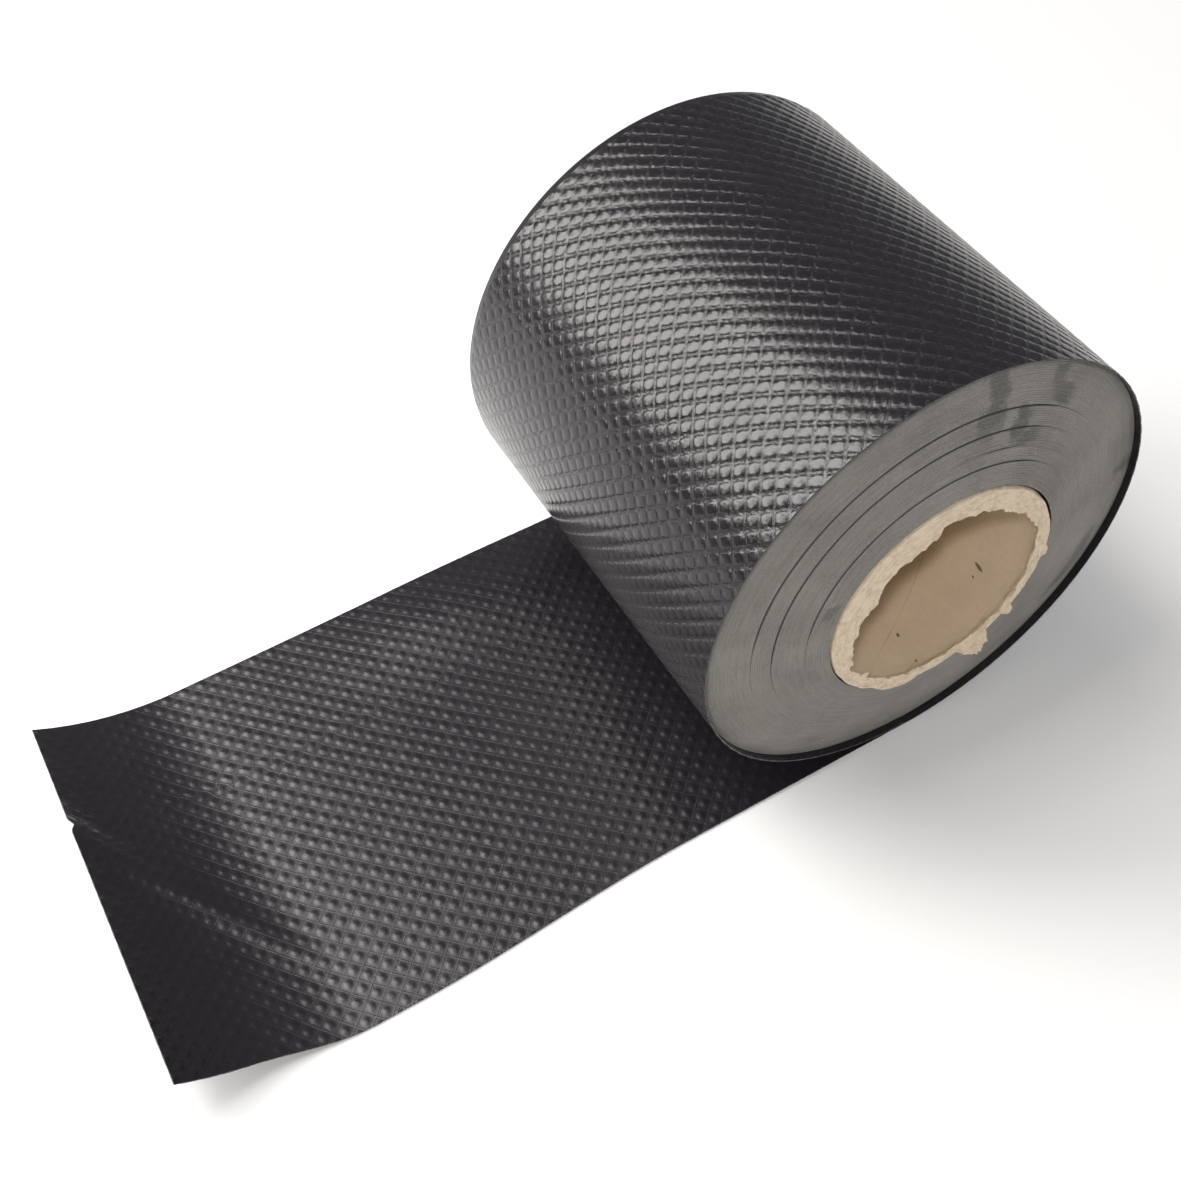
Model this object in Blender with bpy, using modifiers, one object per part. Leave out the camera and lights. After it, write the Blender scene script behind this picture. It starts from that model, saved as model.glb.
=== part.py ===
"""A roll of damp proof course: a strip of polythene wound on a cardboard core, lying on its side.

The roll's axis runs along Y, with its showing end at -Y. The loose end of the strip leaves the roll at
the bottom and lies along -X on the floor. The origin is on the floor under the middle of the roll.
Units are metres, and +Z is up.
"""

import bmesh
import bpy
from math import cos, pi, radians, sin, sqrt

# The strip and the roll it is wound into
STRIP_WIDTH = 0.150
STRIP_THICKNESS = 0.0005
ROLL_DIAMETER = 0.164

# The cardboard core
CORE_BORE = 0.076
CORE_WALL = 0.003
CORE_LENGTH = 0.150
CORE_PROUD = 0.001
CORE_FIT = 0.0003

# How the ends of the roll are out of flush: the inner turns are pushed out of the showing end,
# the outermost ring of turns is level, and the last turn stands past it
INNER_TURNS_PUSH = 0.008
LEVEL_RING = 0.006
LAST_TURN_OVERHANG = 0.0023

# Gaps between turns that show as rings on the ends
TURN_GAP_WIDTH = 0.0006
TURN_GAP_DEPTH = 0.0012
TURN_GAP_COUNT = 4
FIRST_GAP_FROM_RIM = 0.0147
TURN_GAP_SPACING = 0.0061

# The loose end: a flat run, then a curl left from the winding
TAIL_FLAT_LENGTH = 0.203
TAIL_CURL_LENGTH = 0.065
TAIL_CURL_RADIUS = 0.116

# The roll is pressed a little flat where it rests
REST_HALF_WIDTH = 0.004

# How far the wound turns reach into the last turn, so that both are one solid
LAP = 0.0001

SEGMENTS = 72
CURL_SEGMENTS = 10
MERGE_DISTANCE = 0.00001
SHARP_ANGLE = radians(30)

ROLL_RADIUS = ROLL_DIAMETER / 2
CORE_OUTER_RADIUS = CORE_BORE / 2 + CORE_WALL
TURNS_INNER_RADIUS = CORE_OUTER_RADIUS + CORE_FIT
TURNS_OUTER_RADIUS = ROLL_RADIUS - STRIP_THICKNESS + LAP
AXIS_HEIGHT = ROLL_RADIUS


def clear_scene():
    for obj in list(bpy.data.objects):
        bpy.data.objects.remove(obj, do_unlink=True)


def new_collection(name):
    collection = bpy.data.collections.new(name)
    bpy.context.scene.collection.children.link(collection)
    return collection


def principled(name, colour, roughness, metallic=0.0):
    material = bpy.data.materials.new(name)
    material.use_nodes = True
    shader = material.node_tree.nodes["Principled BSDF"]
    shader.inputs["Base Color"].default_value = (*colour, 1.0)
    shader.inputs["Roughness"].default_value = roughness
    shader.inputs["Metallic"].default_value = metallic
    return material


def evaluated_mesh(obj):
    """The object's mesh with its modifiers or its curve settings carried out."""
    bpy.context.view_layer.update()
    depsgraph = bpy.context.evaluated_depsgraph_get()
    return bpy.data.meshes.new_from_object(obj.evaluated_get(depsgraph))


def turned(name, profile, collection):
    """Turn a closed profile of (radius, height) points about the roll's axis.

    The profile runs down its outer side first. Its height is measured towards the showing end.
    """
    mesh = bpy.data.meshes.new(name)
    edges = [(i, (i + 1) % len(profile)) for i in range(len(profile))]
    mesh.from_pydata([(radius, 0.0, height) for radius, height in profile], edges, [])
    obj = bpy.data.objects.new(name, mesh)
    collection.objects.link(obj)
    obj.location = (0.0, 0.0, AXIS_HEIGHT)
    obj.rotation_euler = (pi / 2, 0.0, 0.0)
    screw = obj.modifiers.new("turn", "SCREW")
    screw.axis = "Z"
    screw.steps = SEGMENTS
    screw.render_steps = SEGMENTS
    screw.use_merge_vertices = True
    screw.merge_threshold = MERGE_DISTANCE
    return obj


def push_at(radius):
    """How far the turns at a radius are pushed towards the showing end."""
    level_radius = TURNS_OUTER_RADIUS - LEVEL_RING
    share = (level_radius - radius) / (level_radius - TURNS_INNER_RADIUS)
    return INNER_TURNS_PUSH * max(0.0, share)


def turn_gap_radii():
    """Radii of the open gaps between turns, from the outside in, that lie inside the wound ring."""
    radii = [TURNS_OUTER_RADIUS - FIRST_GAP_FROM_RIM - i * TURN_GAP_SPACING for i in range(TURN_GAP_COUNT)]
    return [radius for radius in radii if radius > TURNS_INNER_RADIUS + TURN_GAP_WIDTH]


def end_line(face_height, into):
    """Points of one end of the wound turns, from the outside in, with its gaps as small vees."""
    level_radius = TURNS_OUTER_RADIUS - LEVEL_RING
    points = [(TURNS_OUTER_RADIUS, face_height), (level_radius, face_height)]
    for radius in turn_gap_radii():
        for side, depth in ((0.5, 0.0), (0.0, TURN_GAP_DEPTH), (-0.5, 0.0)):
            at = radius + side * TURN_GAP_WIDTH
            points.append((at, face_height + push_at(at) + into * depth))
    points.append((TURNS_INNER_RADIUS, face_height + INNER_TURNS_PUSH))
    return points


def make_wound_turns(collection):
    showing_end = end_line(STRIP_WIDTH / 2, -1)
    far_end = end_line(-STRIP_WIDTH / 2, 1)
    return turned("dpc_strip", far_end + showing_end[::-1], collection)


def tail_point(inward, angle):
    """A point of the curled end, a distance inward from its underside."""
    radius = TAIL_CURL_RADIUS - inward
    return (-TAIL_FLAT_LENGTH - radius * sin(angle), TAIL_CURL_RADIUS - radius * cos(angle))


def roll_point(radius, step):
    """A point of the roll's section, counted anticlockwise from the bottom."""
    angle = 2 * pi * step / SEGMENTS
    return (radius * sin(angle), AXIS_HEIGHT - radius * cos(angle))


def last_turn_outline():
    """Outline, as (x, z) points, of the roll's last turn with the loose end that runs on from it."""
    curl = [TAIL_CURL_LENGTH / TAIL_CURL_RADIUS * i / CURL_SEGMENTS for i in range(CURL_SEGMENTS + 1)]
    underside = [tail_point(0.0, angle) for angle in reversed(curl)] + [(REST_HALF_WIDTH, 0.0)]
    around = [roll_point(ROLL_RADIUS, step) for step in range(1, SEGMENTS)]
    clear_of_floor = [(x, z) for x, z in around if z > STRIP_THICKNESS or x > REST_HALF_WIDTH]
    nip = (-sqrt(2 * ROLL_RADIUS * STRIP_THICKNESS - STRIP_THICKNESS ** 2), STRIP_THICKNESS)
    upper_side = [tail_point(STRIP_THICKNESS, angle) for angle in curl]
    return underside + clear_of_floor + [nip] + upper_side


def add_outline(curve, points):
    spline = curve.splines.new("POLY")
    spline.points.add(len(points) - 1)
    for point, (x, z) in zip(spline.points, points):
        point.co = (x, z, 0.0, 1.0)
    spline.use_cyclic_u = True


def make_last_turn(collection):
    """The last turn and the loose end, as one flat outline drawn out to the strip's width."""
    curve = bpy.data.curves.new("last_turn", "CURVE")
    curve.dimensions = "2D"
    curve.fill_mode = "BOTH"
    curve.extrude = STRIP_WIDTH / 2
    add_outline(curve, last_turn_outline())
    inner_radius = ROLL_RADIUS - STRIP_THICKNESS
    add_outline(curve, [roll_point(inner_radius, step) for step in range(SEGMENTS)])
    drawn = bpy.data.objects.new("last_turn_curve", curve)
    collection.objects.link(drawn)
    drawn.location = (0.0, -LAST_TURN_OVERHANG, 0.0)
    drawn.rotation_euler = (pi / 2, 0.0, 0.0)
    mesh = evaluated_mesh(drawn)
    bm = bmesh.new()
    bm.from_mesh(mesh)
    bmesh.ops.remove_doubles(bm, verts=bm.verts, dist=MERGE_DISTANCE)
    bmesh.ops.recalc_face_normals(bm, faces=bm.faces)
    bm.to_mesh(mesh)
    bm.free()
    solid = bpy.data.objects.new("last_turn", mesh)
    collection.objects.link(solid)
    solid.matrix_world = drawn.matrix_world
    solid.display_type = "WIRE"
    solid.hide_render = True
    bpy.data.objects.remove(drawn, do_unlink=True)
    return solid


def make_core(collection):
    showing_height = STRIP_WIDTH / 2 + INNER_TURNS_PUSH + CORE_PROUD
    far_height = showing_height - CORE_LENGTH
    bore_radius = CORE_BORE / 2
    profile = [(CORE_OUTER_RADIUS, showing_height), (CORE_OUTER_RADIUS, far_height),
               (bore_radius, far_height), (bore_radius, showing_height)]
    return turned("core_tube", profile, collection)


def join_solids(obj, other):
    union = obj.modifiers.new("join", "BOOLEAN")
    union.operation = "UNION"
    union.solver = "EXACT"
    union.object = other


def finish(obj, material):
    """Carry out the modifiers, shade the round faces smooth and give the piece its material."""
    mesh = evaluated_mesh(obj)
    obj.modifiers.clear()
    obj.data = mesh
    mesh.shade_smooth()
    mesh.set_sharp_from_angle(angle=SHARP_ANGLE)
    mesh.materials.clear()
    mesh.materials.append(material)


def main():
    clear_scene()
    parts = new_collection("damp_proof_course_roll")
    helpers = new_collection("helpers")
    strip = make_wound_turns(parts)
    join_solids(strip, make_last_turn(helpers))
    finish(strip, principled("black_polythene", (0.03, 0.028, 0.03), 0.35))
    core = make_core(parts)
    finish(core, principled("cardboard", (0.52, 0.42, 0.28), 0.9))


main()
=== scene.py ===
# %% [markdown]
# # A roll of damp proof course
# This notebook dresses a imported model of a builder's roll: a strip of black embossed polythene, wound on a
# cardboard core, with its loose end run out on the floor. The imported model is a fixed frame. It is loaded
# first, its box is kept, and every size below is either the real strip's size or is read from that frame.

# %% Load the frame
import bmesh
import bpy
import numpy as np
from math import ceil, cos, pi, radians, sin, sqrt
from mathutils import Matrix, Vector, noise


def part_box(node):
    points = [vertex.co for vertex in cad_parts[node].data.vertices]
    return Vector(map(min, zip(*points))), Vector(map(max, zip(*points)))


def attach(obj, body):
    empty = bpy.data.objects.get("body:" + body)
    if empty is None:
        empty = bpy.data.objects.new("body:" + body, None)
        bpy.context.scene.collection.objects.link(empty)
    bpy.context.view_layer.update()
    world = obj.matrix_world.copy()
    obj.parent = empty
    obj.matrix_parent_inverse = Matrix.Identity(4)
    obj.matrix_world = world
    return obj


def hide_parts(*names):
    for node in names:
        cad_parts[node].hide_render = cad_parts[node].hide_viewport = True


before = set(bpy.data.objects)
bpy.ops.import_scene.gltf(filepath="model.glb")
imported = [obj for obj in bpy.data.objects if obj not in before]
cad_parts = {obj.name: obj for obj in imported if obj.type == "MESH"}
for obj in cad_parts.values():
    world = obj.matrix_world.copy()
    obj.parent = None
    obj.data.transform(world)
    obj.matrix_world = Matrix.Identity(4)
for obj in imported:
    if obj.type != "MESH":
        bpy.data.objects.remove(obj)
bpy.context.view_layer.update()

MM = 0.001
STRIP_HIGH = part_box("dpc_strip")[1]
CORE_LOW, CORE_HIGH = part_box("core_tube")

# %% [markdown]
# ## The sizes of the real thing
# The strip is 150 mm wide and half a millimetre thick. About 77 turns of it make a roll 164 mm across. The
# roll's outside radius and its ends come from the frame, so the looks can't drift away from the solids.

# %% Sizes
STRIP_WIDTH = 150 * MM
STRIP_THICKNESS = 0.5 * MM
LAST_TURN_OVERHANG = 2.3 * MM
ROLL_RADIUS = STRIP_HIGH[2] / 2
NEAR_EDGE = -STRIP_WIDTH / 2 - LAST_TURN_OVERHANG
FAR_EDGE = STRIP_WIDTH / 2 - LAST_TURN_OVERHANG
HALF_ROUND = pi * ROLL_RADIUS
CORE_RADIUS = CORE_HIGH[0]
print("roll radius", round(ROLL_RADIUS / MM, 2), "mm, core radius", round(CORE_RADIUS / MM, 2), "mm")

# %% [markdown]
# ## The camera
# The view was worked out from the roll's outline: where its two round ends, its sides and the strip's
# straight edges lie. A camera can be pointed with a Track To constraint, but this one is also rolled about
# its own axis by a few degrees, so its three axes are written out instead, from the point it looks at.

# %% Camera
CAMERA_PLACE = Vector((-223.73, -303.87, 469.87)) * MM
CAMERA_AIM = Vector((-83.48, -10.16, 60.0)) * MM
CAMERA_ROLL = radians(-5.33)
CAMERA_LENS = 48.505
SENSOR_WIDTH = 36.0


def new_object(name, data):
    obj = bpy.data.objects.new(name, data)
    bpy.context.scene.collection.objects.link(obj)
    return obj


def make_camera():
    forward = (CAMERA_AIM - CAMERA_PLACE).normalized()
    level = forward.cross(Vector((0, 0, 1))).normalized()
    right = level * cos(CAMERA_ROLL) + level.cross(forward) * sin(CAMERA_ROLL)
    up = right.cross(forward)
    camera = new_object("camera", bpy.data.cameras.new("camera"))
    camera.data.lens = CAMERA_LENS
    camera.data.sensor_width = SENSOR_WIDTH
    camera.data.clip_start = 10 * MM
    turned = Matrix((right, up, -forward)).transposed().to_4x4()
    camera.matrix_world = Matrix.Translation(CAMERA_PLACE) @ turned
    bpy.context.scene.camera = camera


make_camera()
print("camera", round((CAMERA_AIM - CAMERA_PLACE).length / MM), "mm from what it looks at")

# %% [markdown]
# ## Light and floor
# Black plastic shows almost nothing but its reflections, so the lamps are placed for what the plastic
# mirrors. Soft panels stand behind the roll on its left: one makes the broad sheen along the roll, and two
# above it make the glints on the loose end. A small panel beside the camera lights the dusty end and the
# cardboard, with a narrow shadow just inside the torn rim. The world stays dim, which keeps the rest of the
# plastic dark, and the pale floor, with a pool of light behind the roll, shows as the bright left edge.

# %% Light and floor
LAMP_TARGET = Vector((-30.0, 0.0, 60.0)) * MM
FLOOR_SIZE = 12.0
FLOOR_DROP = 0.2 * MM
GLOW_SPREAD = radians(26)
GLOW_SOFTNESS = 0.05


def toward(azimuth, elevation):
    """A unit vector. Azimuth 0 is the roll's showing end, -Y, and 90 is +X. Both are in degrees."""
    a = radians(azimuth)
    e = radians(elevation)
    return Vector((sin(a) * cos(e), -cos(a) * cos(e), sin(e)))


def make_panel(name, start, end, distance, width, radiance, colour):
    """A flat lamp whose long side runs between two directions. Its radiance is how bright it looks."""
    low, high = (LAMP_TARGET + toward(*direction) * distance for direction in (start, end))
    place = (low + high) / 2
    along = (high - low).normalized()
    away = (place - LAMP_TARGET).normalized()
    lamp = bpy.data.lights.new(name, "AREA")
    lamp.shape = "RECTANGLE"
    lamp.size = (high - low).length
    lamp.size_y = width
    lamp.energy = radiance * pi * lamp.size * lamp.size_y
    lamp.color = colour
    panel = new_object(name, lamp)
    across = away.cross(along).normalized()
    turned = Matrix((along, across, along.cross(across))).transposed().to_4x4()
    panel.matrix_world = Matrix.Translation(place) @ turned


def make_world(brightness):
    world = bpy.data.worlds.new("studio")
    world.use_nodes = True
    background = world.node_tree.nodes["Background"]
    background.inputs["Color"].default_value = (0.96, 0.97, 1.0, 1.0)
    background.inputs["Strength"].default_value = brightness
    bpy.context.scene.world = world


def make_floor_glow(place, power):
    """A soft pool of light on the floor behind the roll, which its far side reflects."""
    lamp = bpy.data.lights.new("floor_glow", "SPOT")
    lamp.energy = power
    lamp.spot_size = GLOW_SPREAD
    lamp.spot_blend = 1.0
    lamp.shadow_soft_size = GLOW_SOFTNESS
    glow = new_object("floor_glow", lamp)
    glow.location = place
    glow.visible_glossy = False


bpy.context.scene.view_settings.view_transform = "Standard"
make_world(0.20)
make_panel("window", (230, 15), (200, 62), 2.6, 0.95, 8.8, (1.0, 0.965, 0.93))
make_panel("window_top", (198, 70), (167, 68), 2.6, 0.60, 4.7, (1.0, 0.97, 0.95))
make_panel("window_side", (252, 58), (214, 76), 2.6, 0.70, 8.3, (1.0, 0.97, 0.95))
make_panel("key", (-45, 53), (-39, 53), 1.8, 0.13, 240.0, (1.0, 0.98, 0.95))
make_panel("right_panel", (20, 16), (80, 16), 2.2, 0.9, 1.3, (0.98, 0.98, 1.0))
make_panel("top_panel", (50, 72), (110, 72), 2.4, 1.2, 0.5, (0.98, 0.98, 1.0))
make_floor_glow((-0.17, 0.20, 0.9), 26.0)

# %% [markdown]
# ## Short helpers for node trees
# Geometry and shader trees are both made of nodes with inputs and outputs. One helper adds a node, sets it
# and links it in a single call. A small class stands for a number in a tree, so that a formula reads as a
# plain sum instead of a chain of maths nodes. The last helper runs a geometry tree on an empty object and
# keeps the result as a plain mesh, because a finished piece should carry no live modifier.

# %% Node helpers


def first_open(sockets):
    return next(socket for socket in sockets if not socket.is_unavailable)


class Value:
    """A number inside a node tree that can be written into sums, such as x * 2 + y."""

    def __init__(self, tree, socket):
        self.tree = tree
        self.socket = socket

    def __add__(self, other):
        return maths(self.tree, "ADD", self, other)

    def __sub__(self, other):
        return maths(self.tree, "SUBTRACT", self, other)

    def __rsub__(self, other):
        return maths(self.tree, "SUBTRACT", other, self)

    def __mul__(self, other):
        return maths(self.tree, "MULTIPLY", self, other)

    def __truediv__(self, other):
        return maths(self.tree, "DIVIDE", self, other)


def plug(tree, given, socket):
    """Link a node, a value or a socket to an input, or set a plain number or colour on it."""
    if isinstance(given, bpy.types.Node):
        given = first_open(given.outputs)
    if isinstance(given, Value):
        given = given.socket
    if isinstance(given, bpy.types.NodeSocket):
        tree.links.new(given, socket)
    elif given is not None:
        socket.default_value = given


def add(tree, kind, *inputs, **settings):
    """Add a node, then fill its inputs in order. None leaves an input as it is."""
    node = tree.nodes.new(kind)
    for name, value in settings.items():
        setattr(node, name, value)
    for socket, given in zip([s for s in node.inputs if not s.is_unavailable], inputs):
        plug(tree, given, socket)
    return node


def maths(tree, operation, *inputs, clamp=False):
    node = add(tree, "ShaderNodeMath", *inputs, operation=operation, use_clamp=clamp)
    return Value(tree, first_open(node.outputs))


def vector_maths(tree, operation, *inputs):
    return add(tree, "ShaderNodeVectorMath", *inputs, operation=operation)


def point(tree, x=0.0, y=0.0, z=0.0):
    return add(tree, "ShaderNodeCombineXYZ", x, y, z)


def axes(tree, place):
    """The x, y and z of a place, each as a value."""
    return [Value(tree, socket) for socket in add(tree, "ShaderNodeSeparateXYZ", place).outputs]


def new_geometry_tree(name, lengths, counts, materials):
    """An empty tree with named inputs. Returns it with its inputs as values."""
    tree = bpy.data.node_groups.new(name, "GeometryNodeTree")
    for titles, kind in ((lengths, "Float"), (counts, "Int"), (materials, "Material")):
        for title in titles:
            tree.interface.new_socket(title, in_out="INPUT", socket_type="NodeSocket" + kind)
    tree.interface.new_socket("Geometry", in_out="OUTPUT", socket_type="NodeSocketGeometry")
    given = tree.nodes.new("NodeGroupInput").outputs
    return tree, {socket.name: Value(tree, socket) for socket in given}


def join(tree, *pieces):
    joined = tree.nodes.new("GeometryNodeJoinGeometry")
    for piece in pieces:
        plug(tree, piece, joined.inputs[0])
    return joined


def weld(tree, geometry, distance):
    return add(tree, "GeometryNodeMergeByDistance", geometry, None, distance)


def paint(tree, geometry, material, selection=None):
    return add(tree, "GeometryNodeSetMaterial", geometry, selection, material)


def place_points(tree, geometry, place, selection=None):
    return add(tree, "GeometryNodeSetPosition", geometry, selection, place)


def remember(tree, geometry, name, place, domain="POINT"):
    """Store a place on every point or corner, under a name that a material can read."""
    node = add(tree, "GeometryNodeStoreNamedAttribute", geometry, data_type="FLOAT_VECTOR", domain=domain)
    node.inputs["Name"].default_value = name
    plug(tree, place, node.inputs["Value"])
    return node


def draw_rim(tree, geometry):
    """Draw new faces out of every open edge, still folded flat."""
    is_rim = add(tree, "FunctionNodeCompare", data_type="INT", operation="EQUAL")
    plug(tree, add(tree, "GeometryNodeInputMeshEdgeNeighbors"), is_rim.inputs[2])
    is_rim.inputs[3].default_value = 1
    drawn = add(tree, "GeometryNodeExtrudeMesh", geometry, is_rim, mode="EDGES")
    drawn.inputs["Offset Scale"].default_value = 0.0
    return drawn


def through_curve(tree, value, inner_points, straight):
    """Pass a value through a curve from (0, 0) to (1, 1) by these points, straight or smooth between them."""
    node = add(tree, "ShaderNodeFloatCurve", None, value)
    knots = node.mapping.curves[0].points
    for at, to in inner_points:
        knots.new(at, to)
    for knot in knots if straight else ():
        knot.handle_type = "VECTOR"
    node.mapping.update()
    return Value(tree, first_open(node.outputs))


def grow(name, tree, **values):
    """Run a tree with these inputs and keep the result as a plain mesh object at the origin."""
    host = new_object(name, bpy.data.meshes.new(name))
    modifier = host.modifiers.new("grow", "NODES")
    modifier.node_group = tree
    for item in tree.interface.items_tree:
        title = item.name.lower().replace(" ", "_")
        if item.in_out == "INPUT" and title in values:
            modifier[item.identifier] = values[title]
    bpy.context.view_layer.update()
    grown = host.evaluated_get(bpy.context.evaluated_depsgraph_get())
    mesh = bpy.data.meshes.new_from_object(grown)
    host.modifiers.clear()
    host.data = mesh
    mesh.name = name
    return host


print("helpers ready")

# %% [markdown]
# ## The black polythene
# The strip is a soft black plastic, pressed between two patterned rollers. It isn't a mirror: its sheen is
# broad, a little uneven and full of fine creases where it was pressed. The relief itself is real mesh, made
# further down. Bump adds what is too fine for it: the worn shoulders beside each pressed line, the short
# creases on them, and a faint unevenness. The pattern is drawn from an attribute that holds each point's
# place along and across the strip, so it follows the strip round the roll.

# %% The strip's pattern
CELL_PITCH = 4.9 * MM
LATTICE_STEP = CELL_PITCH * sqrt(2)
LATTICE_PLACE = ((-139.6 - 24.4) / 2 * MM, (-139.6 + 24.4) / 2 * MM)
LINE_WANDER = 0.25 * MM
PLACE_NAME = "strip_place"


def noise_at(tree, place, scale, detail=3.0, roughness=0.5, distortion=0.0):
    pattern = add(tree, "ShaderNodeTexNoise", noise_dimensions="3D")
    settings = {"Vector": place, "Scale": scale, "Detail": detail, "Roughness": roughness,
                "Distortion": distortion}
    for name, given in settings.items():
        plug(tree, given, pattern.inputs[name])
    return Value(tree, first_open(pattern.outputs))


def between(tree, value, low, high, to_low=0.0, to_high=1.0, kind="SMOOTHSTEP"):
    """Remap a value from one range to another, held at both ends."""
    node = add(tree, "ShaderNodeMapRange", value, low, high, to_low, to_high,
               interpolation_type=kind, clamp=True)
    return Value(tree, first_open(node.outputs))


def line_distances(tree, x, y, step):
    """How far a point is from the nearest line of either family, from 0 on it to 0.5 in mid-cell."""
    return [maths(tree, "PINGPONG", across / step, 0.5) for across in (x + y, x - y)]


def from_cell_middle(tree, distances):
    """How far a point is from the middle of its cell, in cells."""
    a, b = [maths(tree, "POWER", 0.5 - d, 2.0) for d in distances]
    return maths(tree, "SQRT", a + b)


def new_material(name):
    material = bpy.data.materials.new(name)
    material.use_nodes = True
    return material, material.node_tree, material.node_tree.nodes["Principled BSDF"]


def stored_place(tree):
    node = add(tree, "ShaderNodeAttribute", attribute_name=PLACE_NAME, attribute_type="GEOMETRY")
    return node.outputs["Vector"]


def mix_colours(tree, share, first, second):
    node = add(tree, "ShaderNodeMix", data_type="RGBA", blend_type="MIX")
    for i, given in ((0, share), (6, first), (7, second)):
        plug(tree, given, node.inputs[i])
    return node.outputs[2]


def add_bump(tree, shader, height, distance):
    bump = add(tree, "ShaderNodeBump")
    bump.inputs["Strength"].default_value = 1.0
    bump.inputs["Distance"].default_value = distance
    plug(tree, height, bump.inputs["Height"])
    plug(tree, bump, shader.inputs["Normal"])


def outer_relief(tree, distances, flat):
    """Fine relief of the outer face in mm: shoulders beside the pressed lines, and short creases on them."""
    broken = between(tree, distances[1], 0.06, 0.15)
    shoulders = between(tree, distances[0], 0.11, 0.26, -0.060, 0.0) * broken
    shoulders = shoulders + between(tree, distances[1], 0.09, 0.18, -0.042, 0.0)
    on_rows = between(tree, distances[0], 0.10, 0.24, 1.0, 0.0) * broken
    beside_line = maths(tree, "MAXIMUM", on_rows, between(tree, distances[1], 0.06, 0.16, 0.35, 0.03))
    creases = maths(tree, "ABSOLUTE", noise_at(tree, flat, 620, 4.0, 0.65, 1.4) - 0.5)
    return shoulders + between(tree, creases, 0.0, 0.04, 1.0, 0.0) * beside_line * 0.045


def inner_relief(tree, distances):
    """Fine relief of the inner face in mm: the tops of the bumps, and a thin line between the cells."""
    nearest = maths(tree, "MINIMUM", *distances)
    crowns = between(tree, from_cell_middle(tree, distances), 0.04, 0.38, 0.08, 0.0)
    return crowns + between(tree, nearest, 0.0, 0.05, 0.03, 0.0)


def wandering_place(tree, flat):
    """The place on the strip, shifted a little to and fro, so that no line is quite straight."""
    drift = noise_at(tree, flat, 330, 2.0).socket.node.outputs["Color"]
    centred = vector_maths(tree, "SUBTRACT", drift, (0.5, 0.5, 0.5))
    shift = vector_maths(tree, "MULTIPLY", centred, (LINE_WANDER, LINE_WANDER, 0))
    return vector_maths(tree, "ADD", flat, shift)


def make_polythene():
    material, tree, shader = new_material("black_polythene")
    place = stored_place(tree)
    outer_face = axes(tree, place)[2]
    flat = vector_maths(tree, "MULTIPLY", place, (1, 1, 0))
    x, y, _ = axes(tree, wandering_place(tree, flat))
    distances = line_distances(tree, x - LATTICE_PLACE[0], y - LATTICE_PLACE[1], LATTICE_STEP)
    outer, inner = outer_relief(tree, distances, flat), inner_relief(tree, distances)
    height = inner + (outer - inner) * outer_face
    height = height + noise_at(tree, flat, 1000, 3.0, 0.6) * 0.035 + noise_at(tree, flat, 130) * 0.20
    add_bump(tree, shader, height, 1.0 * MM)
    patches = between(tree, noise_at(tree, flat, 60, 4.0, 0.6), 0.25, 0.75, 0.165, 0.23)
    plug(tree, patches + (1.0 - outer_face) * 0.09, shader.inputs["Roughness"])
    dust = between(tree, noise_at(tree, flat, 1500, 2.0), 0.70, 0.80)
    colour = mix_colours(tree, dust, (0.0115, 0.0098, 0.0125, 1.0), (0.05, 0.047, 0.045, 1.0))
    plug(tree, colour, shader.inputs["Base Color"])
    shader.inputs["IOR"].default_value = 1.51
    return material


POLYTHENE = make_polythene()
print("material", POLYTHENE.name)

# %% [markdown]
# ## A tree that embosses a flat sheet
# The strip carries the same small square cell thousands of times, set on its corner. An array would need
# the cells to line up with the strip's edges, and they don't, so the tree makes one cell, sets copies of it
# on two interleaved grids of points, welds them, and pulls every point that lies outside the strip back to
# its edge. The relief is worked out afterwards from each point's place: on the outer face a shallow pillow
# with a groove round it, and on the inner face a round bump. Lines of one family are pressed sharp, with a
# flat floor and steep walls, and stop at each line of the other family, which is softer. The cell has few
# faces, but its cuts are set where the relief bends.

# %% The embossing tree
CELL_CUTS = 5
# Where the walls of a line begin and end, in mm from its middle
STEEP_WALL_MM = (0.42, 0.70)
GENTLE_WALL_MM = (0.25, 0.80)
CROSS_LINE_DEPTH = 0.62
CROSS_CROWN = 0.2
WELD = 0.01 * MM
GROOVE_DEPTH = 0.115 * MM
PILLOW_HEIGHT = 0.05 * MM
BUMP_HEIGHT = 0.17 * MM
SHEET_LENGTHS = ("Start", "End", "Near", "Far", "Pitch", "First cut a", "First cut b", "Lattice x",
                 "Lattice y", "Thickness", "Groove depth", "Pillow", "Bump")


def make_cell(tree, given, cuts):
    """One square cell, its corner near the origin, with its cuts where the grooves have their edges."""
    grid = add(tree, "GeometryNodeMeshGrid", 1.0, 1.0, CELL_CUTS + 1, CELL_CUTS + 1)
    moved = []
    for at, first, family in zip(axes(tree, add(tree, "GeometryNodeInputPosition")), "ab", cuts):
        knots = [(i / CELL_CUTS, family[i]) for i in range(1, CELL_CUTS)]
        along = through_curve(tree, at + 0.5, knots, straight=True)
        moved.append(along * given["Pitch"] + given["First cut " + first])
    return place_points(tree, grid, point(tree, *moved))


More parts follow.
